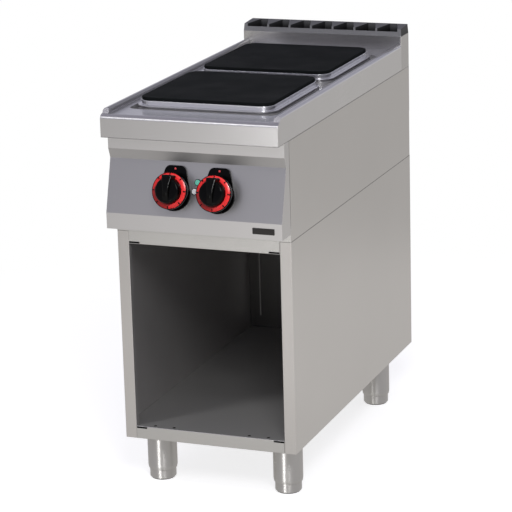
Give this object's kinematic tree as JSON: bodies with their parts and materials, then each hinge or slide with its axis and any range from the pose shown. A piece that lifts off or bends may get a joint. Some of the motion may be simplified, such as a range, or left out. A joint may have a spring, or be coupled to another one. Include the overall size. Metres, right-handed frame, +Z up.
{
  "type": "hot plate burner",
  "caption": "Free-standing electric boiling-top range: square cast-iron hot plates on a stainless worktop with rear flue grille, dial panel, open base cabinet and adjustable legs.",
  "frame": {"origin": "on the floor, at the middle of the whole object's footprint, knobs included", "axes": "+Z up, -Y the front with the control panel, +X the right-hand side for the cook"},
  "size_m": [0.4, 0.9292, 0.91],
  "materials": {
    "satin_steel": "satin",
    "polished_steel": "polished",
    "galvanised_steel": "galvanised",
    "cast_iron": "machined and seasoned, matt",
    "grille_iron": "matt enamelled",
    "heater_sheath": "oxidised",
    "zinc_plated": "zinc plated",
    "brass": "plain",
    "black_plastic": "gloss",
    "matt_black_plastic": "matt",
    "red_dial": "gloss",
    "green_lens": "gloss",
    "white_lens": "gloss",
    "badge_metal": "satin, bare",
    "switch_plastic": "matt",
    "ceramic": "glazed",
    "cable_sheath": "matt",
    "foot_plastic": "matt"
  },
  "bodies": {
    "range": {"badge_plate": "badge_metal", "base_channel_front": "galvanised_steel", "base_channel_rear": "galvanised_steel", "cabinet_back": "satin_steel", "cabinet_shelf": "satin_steel", "cabinet_side_left": "satin_steel", "cabinet_side_right": "satin_steel", "cabinet_top_rail": "satin_steel", "cable_gland": "matt_black_plastic", "casing_back": "galvanised_steel", "casing_floor": "satin_steel", "casing_side_left": "satin_steel", "casing_side_right": "satin_steel", "clamp_bars": "galvanised_steel", "control_panel": "satin_steel", "energy_switch_left": "switch_plastic", "energy_switch_right": "switch_plastic", "equipotential_stud": "brass", "flue_box": "satin_steel", "heating_elements": "heater_sheath", "hinge_slot_plugs": "matt_black_plastic", "hot_plate_front": "cast_iron", "hot_plate_rear": "cast_iron", "knob_base_left": "black_plastic", "knob_base_right": "black_plastic", "leg_front_left": "polished_steel", "leg_front_right": "polished_steel", "leg_guide_rings": "matt_black_plastic", "leg_nuts": "zinc_plated", "leg_rear_left": "polished_steel", "leg_rear_right": "polished_steel", "machine_screws": "zinc_plated", "mains_terminal_block": "switch_plastic", "pilot_lamp_bodies": "matt_black_plastic", "pilot_lens_green": "green_lens", "pilot_lens_white": "white_lens", "plate_covers": "galvanised_steel", "plate_nuts": "zinc_plated", "plate_ring_front": "polished_steel", "plate_ring_rear": "polished_steel", "plate_studs": "zinc_plated", "plate_terminals": "ceramic", "pointer_marks": "red_dial", "wiring_harness": "cable_sheath", "worktop": "satin_steel"},
    "knob_left": {"knob_left": "black_plastic", "dial_ring_left": "red_dial", "switch_shaft_left": "zinc_plated"},
    "knob_right": {"knob_right": "black_plastic", "dial_ring_right": "red_dial", "switch_shaft_right": "zinc_plated"},
    "foot_front_left": {"foot_front_left": "polished_steel", "foot_pad_front_left": "foot_plastic"},
    "foot_front_right": {"foot_front_right": "polished_steel", "foot_pad_front_right": "foot_plastic"},
    "foot_rear_left": {"foot_rear_left": "polished_steel", "foot_pad_rear_left": "foot_plastic"},
    "foot_rear_right": {"foot_rear_right": "polished_steel", "foot_pad_rear_right": "foot_plastic"},
    "grille": {"flue_grille": "grille_iron"}
  },
  "joints": [
    {"name": "knob_left_turn", "type": "hinge", "parent": "range", "child": "knob_left", "pos_m": [-0.0455, -0.40937, 0.69439], "axis": [0, -0.9614, 0.2753], "continuous": true},
    {"name": "knob_right_turn", "type": "hinge", "parent": "range", "child": "knob_right", "pos_m": [0.0545, -0.40937, 0.69439], "axis": [0, -0.9614, 0.2753], "continuous": true},
    {"name": "foot_front_left_height", "type": "slide", "parent": "range", "child": "foot_front_left", "axis": [0, 0, -1], "range_m": [0, 0.04]},
    {"name": "foot_front_right_height", "type": "slide", "parent": "range", "child": "foot_front_right", "axis": [0, 0, -1], "range_m": [0, 0.04]},
    {"name": "foot_rear_left_height", "type": "slide", "parent": "range", "child": "foot_rear_left", "axis": [0, 0, -1], "range_m": [0, 0.04]},
    {"name": "foot_rear_right_height", "type": "slide", "parent": "range", "child": "foot_rear_right", "axis": [0, 0, -1], "range_m": [0, 0.04]},
    {"name": "grille_lift", "type": "slide", "parent": "range", "child": "grille", "axis": [0, 0, 1], "range_m": [0, 0.06]}
  ]
}
